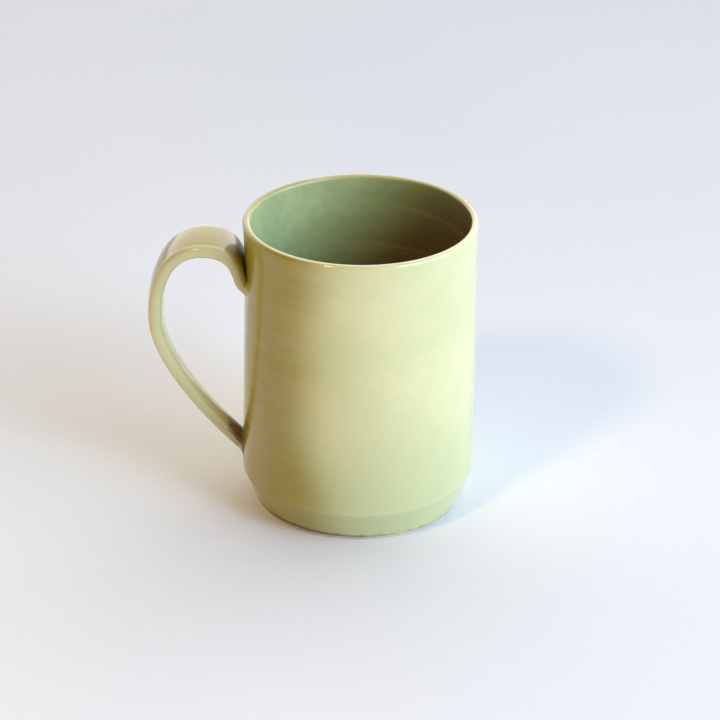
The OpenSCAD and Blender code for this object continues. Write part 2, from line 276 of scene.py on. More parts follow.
def unroll(p):
    """A point as [way round the wall, height, distance from the axis]."""
    r = np.hypot(p[..., 0], p[..., 1])
    return np.stack([UNROLL_R * np.arcsin(p[..., 1] / r), p[..., 2], r], -1)


def roll(q):
    a = q[..., 0] / UNROLL_R
    return np.stack([-q[..., 2] * np.cos(a), q[..., 2] * np.sin(a), q[..., 1]], -1)


WALL_U = [meets_wall(e, 0, 0) for e in (0, 1)]
GLAZED_U = [meets_wall(e, GLAZE_T, GLAZE_T) for e in (0, 1)]
PAD_U = [meets_wall(e, 0, PAD_T) for e in (0, 1)]
FILLET_U = [walk(WALL_U[e], WAY[e] * FILLET[e]) for e in (0, 1)]


def footprint(e):
    """Outline of the fillet on the unrolled wall: the strap's root moved out by its reach."""
    root = unroll(strap_at(WALL_U[e], 0))[:, :2]
    t = np.roll(root, -1, 0) - np.roll(root, 1, 0)
    n = np.stack([t[:, 1], -t[:, 0]], 1) / np.linalg.norm(t, axis=1)[:, None]
    return root + WAY[e] * FILLET[e] * n


PRINTS = [footprint(e) for e in (0, 1)]


def on_wall(q, d):
    """A point of the unrolled wall, back in space and d off the clay."""
    r = wall_r(q[..., 1]) - GLAZE_T
    y = r * np.sin(q[..., 0] / UNROLL_R)
    return np.stack([-np.sqrt((r + d) ** 2 - y**2), y, q[..., 1]], -1)


def fillet_rings(e, g, steps):
    """Rings of the fillet from the wall up to the strap, g off the clay."""
    foot = unroll(on_wall(PRINTS[e], g))
    corner = unroll(strap_at(GLAZED_U[e] if g > 0 else WALL_U[e], g))
    top = unroll(strap_at(FILLET_U[e], g))
    back = unroll(strap_at(FILLET_U[e] - WAY[e] * TANGENT_U, g)) - top
    pull = FILLET_PULL * np.linalg.norm(corner - top, axis=1, keepdims=True)
    points = [foot, foot + FILLET_PULL * (corner - foot),
              top + pull * back / np.linalg.norm(back, axis=1, keepdims=True), top]
    return [roll(bezier(points, np.full(RING_N, i / steps))) for i in range(steps + 1)]


# Rings of a fillet, from it to the clear strap, along one of the three curves, of a cap, of a root.
FILLET_STEPS, GAP_STEPS, STATION_STEPS, CAP_STEPS, ROOT_STEPS = 10, (16, 8), 26, 8, 4
STATION_GAP = 0.01


def gap_rings(e, g):
    """Rings from the end of a fillet to where the strap is clear of the joint."""
    share = np.arange(1, GAP_STEPS[e] + 1) / GAP_STEPS[e]
    return [strap_at(FILLET_U[e] + (CLEAR_U[e] - FILLET_U[e]) * s, g) for s in share]


def station_rings(g):
    """Rings of the strap between its two joints."""
    u = np.arange(3 * STATION_STEPS + 1) / STATION_STEPS
    return [strap_at(x, g) for x in u if CLEAR_U[0] + STATION_GAP < x < CLEAR_U[1] - STATION_GAP]


def strap_rings(g):
    """The strap from one fillet's foot to the other's."""
    return (fillet_rings(0, g, FILLET_STEPS) + gap_rings(0, g) + station_rings(g)
            + gap_rings(1, g)[::-1] + fillet_rings(1, g, FILLET_STEPS)[::-1])


def cap_rings(e, ring, d):
    """Rings that close on the middle of the joint, d off the clay wall; the last is a point."""
    q, mid = unroll(ring)[:, :2], PRINTS[e].mean(0)
    shares = [1 - i / CAP_STEPS for i in range(1, CAP_STEPS)]
    return [on_wall(mid + share * (q - mid), d) for share in shares] + [on_wall(mid, d)]


# ---- small irregularities of hand work, the same for every piece ----

RIM_TILT, RIM_TUCK, SHOULDER_RISE = 0.4, 0.55, 1.5
STRAP_CLEAR_R = 50.0
RISE_TOP_Z, OUTER_SKIN = 3 * SHOULDER_Z, 1.0


def smoothstep(x, low, high):
    t = np.clip((x - low) / (high - low), 0, 1)
    return t * t * (3 - 2 * t)


def hand_made(points):
    """The rim leans down to the handle and tucks in across from it, where the shoulder rises."""
    p = np.array(points, float)
    r = np.hypot(p[:, 0], p[:, 1])
    z = p[:, 2].copy()
    away = np.maximum(p[:, 0], 0) / RIM_R
    near_axis = 1 - smoothstep(r, RIM_R, STRAP_CLEAR_R)
    p[:, 2] += RIM_TILT * p[:, 0] / RIM_R * smoothstep(z, FLARE_Z, LIP_Z) * near_axis
    p[:, :2] *= 1 - RIM_TUCK * (away**2 * smoothstep(z, UPPER_Z, MUG_H) / RIM_R)[:, None]
    profile = np.minimum(wall_r(z), FOOT_R + z * math.tan(BEVEL_LEAN))
    raised = smoothstep(z, BARE_H, SHOULDER_Z) * (1 - smoothstep(z, SHOULDER_Z, RISE_TOP_Z))
    p[:, 2] += SHOULDER_RISE * away**2 * raised * (r > profile - OUTER_SKIN)
    return p


# ---- mesh helpers ----

def make_object(name, points, faces):
    """A mesh object from points in millimetres."""
    mesh = bpy.data.meshes.new(name)
    mesh.from_pydata([tuple(p) for p in hand_made(points) * MM], [], [tuple(f) for f in faces])
    mesh.update()
    mesh.validate()
    mesh.polygons.foreach_set("use_smooth", np.ones(len(mesh.polygons), bool))
    obj = bpy.data.objects.new(name, mesh)
    bpy.context.scene.collection.objects.link(obj)
    return obj


def lathe(profile):
    """Points and faces of a closed turned solid; the profile starts and ends on the axis."""
    profile = np.asarray(profile)
    a = 2 * np.pi * np.arange(COLUMNS) / COLUMNS
    mids = profile[1:-1]
    points = np.stack([-mids[:, :1] * np.cos(a), mids[:, :1] * np.sin(a),
                       np.repeat(mids[:, 1:], COLUMNS, 1)], -1).reshape(-1, 3)
    n = len(points)
    points = np.vstack([points, [0, 0, profile[0, 1]], [0, 0, profile[-1, 1]]])
    faces = []
    for k in range(len(mids) - 1):
        for c in range(COLUMNS):
            d = (c + 1) % COLUMNS
            here, above = k * COLUMNS, (k + 1) * COLUMNS
            faces.append((here + c, above + c, above + d, here + d))
    last = (len(mids) - 1) * COLUMNS
    for c in range(COLUMNS):
        d = (c + 1) % COLUMNS
        faces.append((n, c, d))
        faces.append((n + 1, last + d, last + c))
    return points, faces


def ring_solid(rings, first, last):
    """A stack of rings of RING_N points, closed by a point at each end."""
    m = len(rings)
    points = np.vstack([*rings, first, last])
    faces = []
    for k in range(m - 1):
        for j in range(RING_N):
            i = (j + 1) % RING_N
            here, above = k * RING_N, (k + 1) * RING_N
            faces.append((here + j, above + j, above + i, here + i))
    for j in range(RING_N):
        i = (j + 1) % RING_N
        faces.append((m * RING_N, j, i))
        faces.append((m * RING_N + 1, (m - 1) * RING_N + i, (m - 1) * RING_N + j))
    return points, faces


def face_out(obj):
    """Turns the whole mesh if its volume comes out negative."""
    bm = bmesh.new()
    bm.from_mesh(obj.data)
    if bm.calc_volume(signed=True) < 0:
        bmesh.ops.reverse_faces(bm, faces=bm.faces)
    bm.to_mesh(obj.data)
    bm.free()


# ---- outer coat: wall, lip and strap as one skin ----

# Air between a glaze's back and the clay, so that the two faces don't lie in one place.
BACK_GAP = 0.03
ROLL_R = GLAZE_T * 0.97
LIP_ROWS, FLARE_ROWS, MID_ROWS, SHOULDER_ROWS, BEVEL_ROWS, ROLL_ROWS = 22, 14, 30, 10, 10, 5
# Heights between which the wall's grid is cut out round each joint.
LOWER_PATCH, UPPER_PATCH = (14.2, 31.5), (75.0, 97.5)


def coat_profile():
    """Rows of the outer coat, from its rolled lower edge to the seam on the lip.

    The two patches are the rows round each joint, where the strap's skin joins the wall's.
    """
    normal = np.array([math.cos(BEVEL_LEAN), -math.sin(BEVEL_LEAN)])
    upward = np.array([math.sin(BEVEL_LEAN), math.cos(BEVEL_LEAN)])
    centre = bevel_at(BARE_H, ROLL_R) + ROLL_R * upward
    a = np.linspace(0, math.pi / 2, ROLL_ROWS + 1)[:, None]
    rolled = centre + ROLL_R * (normal * np.sin(a) - upward * np.cos(a))
    shoulder = shoulder_arc(0, SHOULDER_ROWS)
    share = np.linspace(0, 1, BEVEL_ROWS + 1)[1:-1, None]
    bevel = rolled[-1] + (shoulder[0] - rolled[-1]) * share
    z = np.concatenate([
        np.linspace(LOWER_PATCH[0], LOWER_PATCH[1], PATCH_ROWS + 1),
        np.linspace(LOWER_PATCH[1], UPPER_PATCH[0], MID_ROWS + 1)[1:],
        np.linspace(UPPER_PATCH[0], UPPER_PATCH[1], PATCH_ROWS + 1)[1:],
        np.linspace(UPPER_PATCH[1], LIP_Z, FLARE_ROWS + 1)[1:-1],
    ])
    wall = np.stack([wall_r(z), z], 1)
    lip = arc((LIP_OUT, LIP_Z), LIP_RAD, 0, LIP_SEAM, LIP_ROWS)
    start = len(rolled) + len(bevel) + len(shoulder)
    lower = (start, start + PATCH_ROWS)
    upper = (start + PATCH_ROWS + MID_ROWS, start + 2 * PATCH_ROWS + MID_ROWS)
    return np.vstack([rolled, bevel, shoulder, wall, lip]), lower, upper


# Rings between the cut and the fillet, at the upper and the lower joint.
PATCH_RINGS = (8, 9)

# ---- painted marks: where the glaze thins to cream, pools brown and fires tan, with painted shade and highlight ----
# Shares are from 0 to 1. A pair is where a mark comes on: from, to. A pair named _SIDE or _BACK
# is in wall radii from the axis, towards the handle or away from the viewer; _Z is a height,
# _OFF a distance from the wall.

LIP_THIN, LIP_THIN_TURN = 0.8, (40, 85)
LIP_LOST_BACK, LIP_THIN_BACK = 0.85, (-0.25, 0.4)
LIP_LOST_SIDE, LIP_THIN_SIDE = 0.65, (0.4, 1.0)
LIP_TAN, LIP_TAN_Z, LIP_TAN_BACK = 0.5, (LIP_Z - 2, LIP_Z + 0.5), (-0.3, 0.5)
SHOULDER_THIN, SHOULDER_THIN_SIDE = 0.16, (0.1, 0.8)
SHOULDER_UP_Z = (SHOULDER_Z - 1.6, SHOULDER_Z)
SHOULDER_DOWN_Z = (SHOULDER_Z, SHOULDER_Z + 1.4)
# The wall's tan comes on towards the handle's side: partly the glaze's fired tan, partly painted
# shade of the side away from the lights.
TAN_SHADE_SIDE = (0.1, 0.86)
TAN_LOW, TAN_LOW_Z = 0.2, (10, 45)
TAN_HIGH, TAN_HIGH_Z = 0.12, (80, 100)
# The dark band at the foot is the glaze's thick roll, with painted contact shadow added towards the
# handle's side.
FOOT_POOL_Z, FOOT_POOL_AWAY, FOOT_SHADOW_SIDE = (BARE_H + 0.5, BARE_H + 2.4), 0.5, (-0.2, 0.7)

# The brown round the joints and in the strap's crevices is pooled glaze and partly painted shade.
JOINT_POOL, JOINT_POOL_RINGS = 0.5, 4
JOINT_POOL_UNDER, JOINT_POOL_LOWER = 0.12, 0.75
JOINT_POOL_Z = (UPPER_Z - 2, UPPER_Z + 4)

UPPER_POOL_OFF, UPPER_POOL_TURN = 6.4, (0.45, 1)
UPPER_POOL_NEAR, UPPER_POOL_Y = 0.25, (-10, -3)
LOWER_POOL, LOWER_POOL_OFF, LOWER_POOL_TURN = 0.85, 11, 1.1
# On the strap the tan is partly the glaze's own; on the outer face and towards the wall it is
# painted shade.
STRAP_TAN, ROOT_SHADE, ROOT_SHADE_OFF = 0.05, 0.3, (0, 16)
ARCH_TAN, ARCH_Z = 0.2, (REACH[1], CROWN[1] - 4)
OUTER_TAN_AND_SHADE, OUTER_ARCH_TAN_AND_SHADE, OUTER_ROUND = 0.3, 0.55, 0.5
# The pale break on the arch's outer edges is the glaze thinning and partly a painted highlight.
ROUND_THIN, ARCH_EDGE_THIN_AND_HIGHLIGHT, ROUND_THIN_OFF = 0.22, 0.33, (2, 8)
LOW_PART_Z, LOW_PART_OFF = (55, REACH[1]), (5, 14)
INNER_THIN, EDGE_THIN = 0.25, 0.15


def wall_marks(p):
    """On the wall, for each point: how thin the glaze is, how far it pooled, how tan it fired; tan
    and foot hold painted shade.
    """
    z, side, back = p[:, 2], -p[:, 0] / SHOULDER_R, p[:, 1] / SHOULDER_R
    turn = np.degrees(np.arctan2(z - LIP_Z, np.hypot(p[:, 0], p[:, 1]) - LIP_OUT))
    lip = LIP_THIN * smoothstep(turn, *LIP_THIN_TURN) * (z > LIP_Z)
    lip *= 1 - LIP_LOST_BACK * smoothstep(back, *LIP_THIN_BACK)
    lip *= 1 - LIP_LOST_SIDE * smoothstep(side, *LIP_THIN_SIDE)
    lip_tan = LIP_TAN * smoothstep(z, *LIP_TAN_Z) * smoothstep(back, *LIP_TAN_BACK)
    shoulder = SHOULDER_THIN * smoothstep(z, *SHOULDER_UP_Z) * (1 - smoothstep(z, *SHOULDER_DOWN_Z))
    shoulder *= 1 - smoothstep(side, *SHOULDER_THIN_SIDE)
    low, high = 1 - smoothstep(z, *TAN_LOW_Z), smoothstep(z, *TAN_HIGH_Z)
    # Painted shade: the tan deepens towards the handle's side.
    tan = smoothstep(side + TAN_LOW * low + TAN_HIGH * high, *TAN_SHADE_SIDE)
    # Painted contact shadow: the foot's band darkens towards the handle's side.
    near_handle = smoothstep(side, *FOOT_SHADOW_SIDE)
    foot = (1 - smoothstep(z, *FOOT_POOL_Z)) * (FOOT_POOL_AWAY + (1 - FOOT_POOL_AWAY) * near_handle)
    return np.stack([np.maximum(lip, shoulder), foot, np.maximum(tan, lip_tan) * (1 - lip)], 1)


def joint_marks(p, rings_off):
    """On the wall round a joint, rings_off below 0: the glaze pools towards the fillet, with
    painted shade there.
    """
    marks = wall_marks(p)
    near = max(0, 1 + rings_off / JOINT_POOL_RINGS)
    crevice = JOINT_POOL_UNDER + (1 - JOINT_POOL_UNDER) * smoothstep(p[:, 2], *JOINT_POOL_Z)
    crevice = np.where(p[:, 2] > REACH[1], crevice, JOINT_POOL_LOWER)
    # Pooled glaze with painted shade, towards the fillet.
    marks[:, 1] = np.maximum(marks[:, 1], JOINT_POOL * near * crevice)
    return marks


def strap_marks(p):
    """On the strap: thin over the edges, pooled in the crevices, tan on the outer face; partly
    painted shade and highlight.
    """
    _, sy, _, share, kind = PLAN.T
    off = np.hypot(p[:, 0], p[:, 1]) - wall_r(p[:, 2])
    upper = p[:, 2] > REACH[1]
    outward = (1 + sy * np.where(kind == EDGE, 1 - 2 * share, 1.0)) / 2
    rounded, faces_out = kind == ROUND, sy > 0
    outer = np.where(kind == FACE, 1.0, OUTER_ROUND * rounded) * faces_out
    inner = (kind == FACE) * (sy < 0)
    across = UPPER_POOL_NEAR + (1 - UPPER_POOL_NEAR) * smoothstep(p[:, 1], *UPPER_POOL_Y)
    crevice = np.where(upper, across * smoothstep(outward, *UPPER_POOL_TURN), LOWER_POOL)
    reach = np.where(upper, UPPER_POOL_OFF, LOWER_POOL_OFF * (LOWER_POOL_TURN - outward))
    # The pool mark is pooled glaze with painted shade in the crevices.
    pool_and_shade = crevice * (1 - smoothstep(off, 0, reach))
    arch = smoothstep(p[:, 2], *ARCH_Z)
    # Painted shade: tan on the outer face and darkening towards the wall.
    tan = STRAP_TAN + ARCH_TAN * arch + (OUTER_TAN_AND_SHADE + OUTER_ARCH_TAN_AND_SHADE * arch) * outer
    tan += ROOT_SHADE * (1 - smoothstep(off, *ROOT_SHADE_OFF))
    low_part = (1 - smoothstep(p[:, 2], *LOW_PART_Z)) * smoothstep(off, *LOW_PART_OFF)
    # Painted highlight: a paler break along the arch's outer edges.
    thin = rounded * (ROUND_THIN + ARCH_EDGE_THIN_AND_HIGHLIGHT * arch * faces_out)
    thin *= smoothstep(off, *ROUND_THIN_OFF)
    thin += low_part * (INNER_THIN * inner + EDGE_THIN * (kind == EDGE))
    return np.stack([np.clip(thin, 0, 1), pool_and_shade, np.clip(tan, 0, 1)], 1)


def outer_coat_mesh():
    """The wall's grid with two patches cut out, and the strap's skin stitched into them."""
    profile, lower, upper = coat_profile()
    a = 2 * np.pi * np.arange(COLUMNS) / COLUMNS
    grid = np.stack([-profile[:, :1] * np.cos(a), profile[:, :1] * np.sin(a),
                     np.repeat(profile[:, 1:], COLUMNS, 1)], -1)
    half = PATCH_COLS // 2
    used = np.ones(grid.shape[:2], bool)
    inner = [c % COLUMNS for c in range(-half + 1, half)]
    for r0, r1 in (lower, upper):
        used[np.ix_(range(r0 + 1, r1), inner)] = False
    ids = np.full(used.shape, -1)
    ids[used] = np.arange(used.sum())
    points = list(grid[used])
    faces = []
    for k in range(len(profile) - 1):
        for c in range(COLUMNS):
            d = (c + 1) % COLUMNS
            in_rows = any(r0 <= k < r1 for r0, r1 in (lower, upper))
            if not (in_rows and (c + half) % COLUMNS < PATCH_COLS):
                faces.append((ids[k, c], ids[k, d], ids[k + 1, d], ids[k + 1, c]))

    def rectangle(rows, top_first):
        """The patch's edge in the order of the section's points: point numbers, unrolled places."""
        r0, r1 = rows
        first, second = (r1, r0) if top_first else (r0, r1)
        step = 1 if second > first else -1
        out = [(first, c) for c in range(half, -half, -1)]
        out += [(r, -half) for r in range(first, second, step)]
        out += [(second, c) for c in range(-half, half)]
        out += [(r, half) for r in range(second, first, -step)]
        out = out[-(ARC_N // 2):] + out[: -(ARC_N // 2)]
        return np.array([ids[r, c % COLUMNS] for r, c in out]), np.array(
            [[UNROLL_R * 2 * np.pi * c / COLUMNS, profile[r, 1]] for r, c in out])

    marks = [wall_marks(np.array(points))]
    loops = []
    rings = strap_rings(GLAZE_T)
    for e, rows in ((0, upper), (1, lower)):
        loop_ids, flat = rectangle(rows, e == 0)
        print_flat = unroll(rings[0 if e == 0 else -1])[:, :2]
        patch = []
        for i in range(1, PATCH_RINGS[e]):
            q = flat + (print_flat - flat) * (i / PATCH_RINGS[e])
            r = wall_r(q[:, 1])
            patch.append(roll(np.stack([q[:, 0], q[:, 1], r], 1)))
        loops.append((loop_ids, patch))
    tube = loops[0][1] + rings + loops[1][1][::-1]
    base = len(points)
    for k, ring in enumerate(tube):
        points += list(ring)
        from_root = [k - len(loops[0][1]), len(tube) - 1 - len(loops[1][1]) - k]
        on_patch = min(from_root) < 0
        marks.append(joint_marks(ring, min(from_root)) if on_patch else strap_marks(ring))
    ring_ids = [loops[0][0]] + [base + k * RING_N + J for k in range(len(tube))] + [loops[1][0]]
    for k in range(len(ring_ids) - 1):
        for j in range(RING_N):
            i = (j + 1) % RING_N
            faces.append((ring_ids[k][j], ring_ids[k][i], ring_ids[k + 1][i], ring_ids[k + 1][j]))
    return np.array(points), faces, np.vstack(marks)


def outer_coat():
    points, faces, marks = outer_coat_mesh()
    obj = make_object("celadon_coat", points, faces)
    # The marks on the mesh: thin glaze with a painted highlight, pooled glaze with painted shade,
    # and fired tan with painted shade.
    for name, values in zip(("thin", "pool_and_shade", "tan"), marks.T):
        attribute = obj.data.attributes.new(name, "FLOAT", "POINT")
        attribute.data.foreach_set("value", values.astype(np.float32))
    solid = obj.modifiers.new("thickness", "SOLIDIFY")
    solid.thickness = (GLAZE_T - BACK_GAP) * MM
    solid.offset = -1
    solid.use_rim = True
    return obj


SEAM_STEPS, MOUTH_STEPS, BORE_STEPS, CORNER_STEPS, FLOOR_STEPS = 6, 14, 60, 24, 26
CORNER = np.array([BORE_R - FLOOR_FILLET, FLOOR_Z + FLOOR_FILLET])


def liner_coat():
    corner = arc(CORNER, FLOOR_FILLET, 0, -math.pi / 2, CORNER_STEPS)
    bore = np.linspace(BORE_TOP_Z, CORNER[1], BORE_STEPS)[1:-1]
    floor_r = np.linspace(CORNER[0], 0, FLOOR_STEPS)[1:]

    def side(d):
        """Rows of the liner d behind its face, from the seam to the middle of the floor."""
        return np.vstack([
            arc((LIP_OUT, LIP_Z), LIP_RAD - d, LIP_SEAM, math.pi, SEAM_STEPS),
            mouth_points(d, MOUTH_STEPS)[1:],
            np.stack([np.full(len(bore), BORE_R + d), bore], 1),
            corner + (corner - CORNER) * d / FLOOR_FILLET,
            np.stack([floor_r, np.full(len(floor_r), FLOOR_Z - d)], 1),
        ])

    points, faces = lathe(np.vstack([side(0)[::-1], side(GLAZE_T - BACK_GAP)]))
    return make_object("celadon_liner", points, faces)


CLAY_FLAT_N, CLAY_SOLE_N, CLAY_WALL_N = 12, 5, 40
CLAY_RAMP_STEPS, CLAY_EDGE_STEPS, CLAY_LIP_STEPS, CLAY_CORNER_STEPS = 6, 8, 16, 12
RAMP_END, RAMP_GAP = 0.12, 0.1


def clay_body():
    """The clay wall, floor and foot ring, a glaze's thickness behind the glazed faces."""
    d = GLAZE_T
    recess = np.linspace(0, RING_IN_R - RECESS_D, CLAY_FLAT_N)
    ramp = arc((RING_IN_R - RECESS_D, 0), RECESS_D, math.pi / 2, RAMP_END, CLAY_RAMP_STEPS)
    edge, outside = foot_edge(CLAY_EDGE_STEPS), shoulder_arc(d, CLAY_EDGE_STEPS)
    sole = np.linspace(RING_IN_R + RAMP_GAP, edge[0, 0], CLAY_SOLE_N + 1)[:-1]
    z = np.linspace(outside[-1, 1], LIP_Z, CLAY_WALL_N)[1:-1]
    bore = np.linspace(BORE_TOP_Z, CORNER[1], CLAY_FLAT_N)[1:-1]
    share = np.linspace(0, 1, CLAY_EDGE_STEPS)[1:-1, None]
    profile = np.vstack([
        np.stack([recess, np.full(len(recess), RECESS_D)], 1),
        ramp[1:],
        np.stack([sole, np.zeros(len(sole))], 1),
        edge,
        edge[-1] + (outside[0] - edge[-1]) * share,
        outside,
        np.stack([wall_r(z) - d, z], 1),
        arc((LIP_OUT, LIP_Z), LIP_RAD - d, 0, math.pi, CLAY_LIP_STEPS),
        mouth_points(d, CLAY_EDGE_STEPS)[1:],
        np.stack([np.full(len(bore), BORE_R + d), bore], 1),
        arc(CORNER, FLOOR_FILLET + d, 0, -math.pi / 2, CLAY_CORNER_STEPS),
        [[0, FLOOR_Z - d]],
    ])
    points, faces = lathe(profile)
    return make_object("clay_cup", points, faces)


def root_rings(e):
    """Rings of the bare strap from the slip pad to the end of the fillet."""
    share = np.arange(ROOT_STEPS + 1) / ROOT_STEPS
    return [strap_at(PAD_U[e] + (FILLET_U[e] - PAD_U[e]) * s, 0) for s in share]


def clay_handle():
    upper, lower = root_rings(0), root_rings(1)
    caps = [cap_rings(e, ring, PAD_T) for e, ring in ((0, upper[0]), (1, lower[0]))]
    middle = gap_rings(0, 0) + station_rings(0) + gap_rings(1, 0)[::-1]
    rings = caps[0][:-1][::-1] + upper + middle + lower[::-1] + caps[1][:-1]
    return make_object("clay_strap", *ring_solid(rings, caps[0][-1], caps[1][-1]))


def slip_joint(e, name):
    """The slip between strap and wall: a pad under the strap's end and the fillet round it."""
    root, rings = root_rings(e), fillet_rings(e, 0, FILLET_STEPS)
    back, front = cap_rings(e, on_wall(PRINTS[e], 0), 0), cap_rings(e, root[0], PAD_T)
    stack = back[:-1][::-1] + rings + root[-2::-1] + front[:-1]
    return make_object(name, *ring_solid(stack, back[-1], front[-1]))


# ---- node helpers ----

def new_material(name):
    mat = bpy.data.materials.new(name)
    mat.use_nodes = True
    tree = mat.node_tree
    tree.nodes.clear()
    out = tree.nodes.new("ShaderNodeOutputMaterial")
    bsdf = tree.nodes.new("ShaderNodeBsdfPrincipled")
    tree.links.new(bsdf.outputs[0], out.inputs[0])
    return mat, tree, bsdf


def noise_of(tree, vector, scale, detail, rough):
    """A noise from 0 to 1, with scale in waves a metre."""
    n = tree.nodes.new("ShaderNodeTexNoise")
    n.inputs["Scale"].default_value = scale
    n.inputs["Detail"].default_value = detail
    n.inputs["Roughness"].default_value = rough
    n.inputs["Distortion"].default_value = 0.0
    tree.links.new(vector, n.inputs["Vector"])
    return n.outputs["Fac"]


def mapping(tree, vector, scale):
    m = tree.nodes.new("ShaderNodeMapping")
    m.inputs["Scale"].default_value = scale
    tree.links.new(vector, m.inputs["Vector"])
    return m.outputs[0]


def spread(tree, value, low, high, out_low=0.0, out_high=1.0):
    """Spreads a value from low to high smoothly over out_low to out_high."""
    m = tree.nodes.new("ShaderNodeMapRange")
    m.interpolation_type = "SMOOTHSTEP"
    ends = {"From Min": low, "From Max": high, "To Min": out_low, "To Max": out_high}
    for key, end in ends.items():
        m.inputs[key].default_value = end
    tree.links.new(value, m.inputs["Value"])
    return m.outputs[0]


def mix(tree, factor, first, second, mode="MIX"):
    """Mixes two colours, each a tuple or a socket, by a number or a socket."""
    m = tree.nodes.new("ShaderNodeMix")
    m.data_type = "RGBA"
    m.blend_type = mode
    for place, value in ((0, factor), (6, first), (7, second)):
        socket = m.inputs[place]
        if isinstance(value, tuple):
            socket.default_value = (*value, 1.0)
        elif isinstance(value, (int, float)):
            socket.default_value = value
        else:
            tree.links.new(value, socket)
    return m.outputs[2]


def maths(tree, operation, first, second):
    m = tree.nodes.new("ShaderNodeMath")
    m.operation = operation
    for socket, value in ((m.inputs[0], first), (m.inputs[1], second)):
        if isinstance(value, (int, float)):
            socket.default_value = value
        else:
            tree.links.new(value, socket)
    return m.outputs[0]


def object_axes(tree):
    """The object's own coordinates, and their three parts."""
    coords = tree.nodes.new("ShaderNodeTexCoord")
    parts = tree.nodes.new("ShaderNodeSeparateXYZ")
    tree.links.new(coords.outputs["Object"], parts.inputs[0])
    return coords.outputs["Object"], parts.outputs


def set_finish(bsdf, **values):
    for key, value in values.items():
        bsdf.inputs[key.replace("_", " ")].default_value = value


# ---- materials ----

PALE = (0.74, 0.69, 0.36)
GREENER = (0.60, 0.62, 0.30)
# Tan is fired glaze and also painted shade; cream is thin glaze and also a painted highlight; brown
# is pooled glaze and specks and also painted shade.
TAN_AND_SHADE = (0.36, 0.288, 0.034)
CREAM_AND_HIGHLIGHT = (0.80, 0.77, 0.50)
LOW_GREEN = (0.55, 0.575, 0.285)
BROWN_AND_SHADE = (0.15, 0.08, 0.02)
LINER_GREEN = (0.50, 0.60, 0.29)
LINER_DEEP = (0.43, 0.50, 0.22)
# The liner's olive and brown are painted shade away from the handle and down the bore; the brown is
# partly pooled glaze.
LINER_OLIVE_SHADE = (0.27, 0.33, 0.145)
LINER_BROWN_AND_SHADE = (0.125, 0.078, 0.045)
CLAY_LIGHT, CLAY_DARK, CLAY_GRAIN = (0.72, 0.66, 0.52), (0.60, 0.53, 0.39), (0.22, 0.14, 0.08)
SLIP_LIGHT, SLIP_DARK = (0.62, 0.54, 0.38), (0.50, 0.42, 0.29)
PAPER, PAPER_SHADE, PAPER_FIBRE = (0.80, 0.82, 0.85), (0.77, 0.79, 0.83), (0.74, 0.75, 0.78)
BLACK = (0.0, 0.0, 0.0)
# The wall turns greener from this height down, and the liner darker with depth as painted shade, in
# millimetres.
GREEN_FROM_Z, GREEN_FULL_Z = 60.0, 8.0
LINER_SHADE_DEPTH = 43.0


def painted(tree, name):
    """A value painted on the mesh."""
    n = tree.nodes.new("ShaderNodeAttribute")
    n.attribute_name = name
    return n.outputs["Fac"]


def ragged(tree, value, wobble, reach, low, high):
    """A value that comes on between low and high, its edge broken up by a noise."""
    shift = maths(tree, "MULTIPLY", maths(tree, "SUBTRACT", wobble, 0.5), reach)
    return spread(tree, maths(tree, "ADD", value, shift), low, high)


def bumps(tree, bsdf, height, strength, distance):
    bump = tree.nodes.new("ShaderNodeBump")
    bump.inputs["Strength"].default_value = strength
    bump.inputs["Distance"].default_value = distance
    tree.links.new(height, bump.inputs["Height"])
    tree.links.new(bump.outputs[0], bsdf.inputs["Normal"])


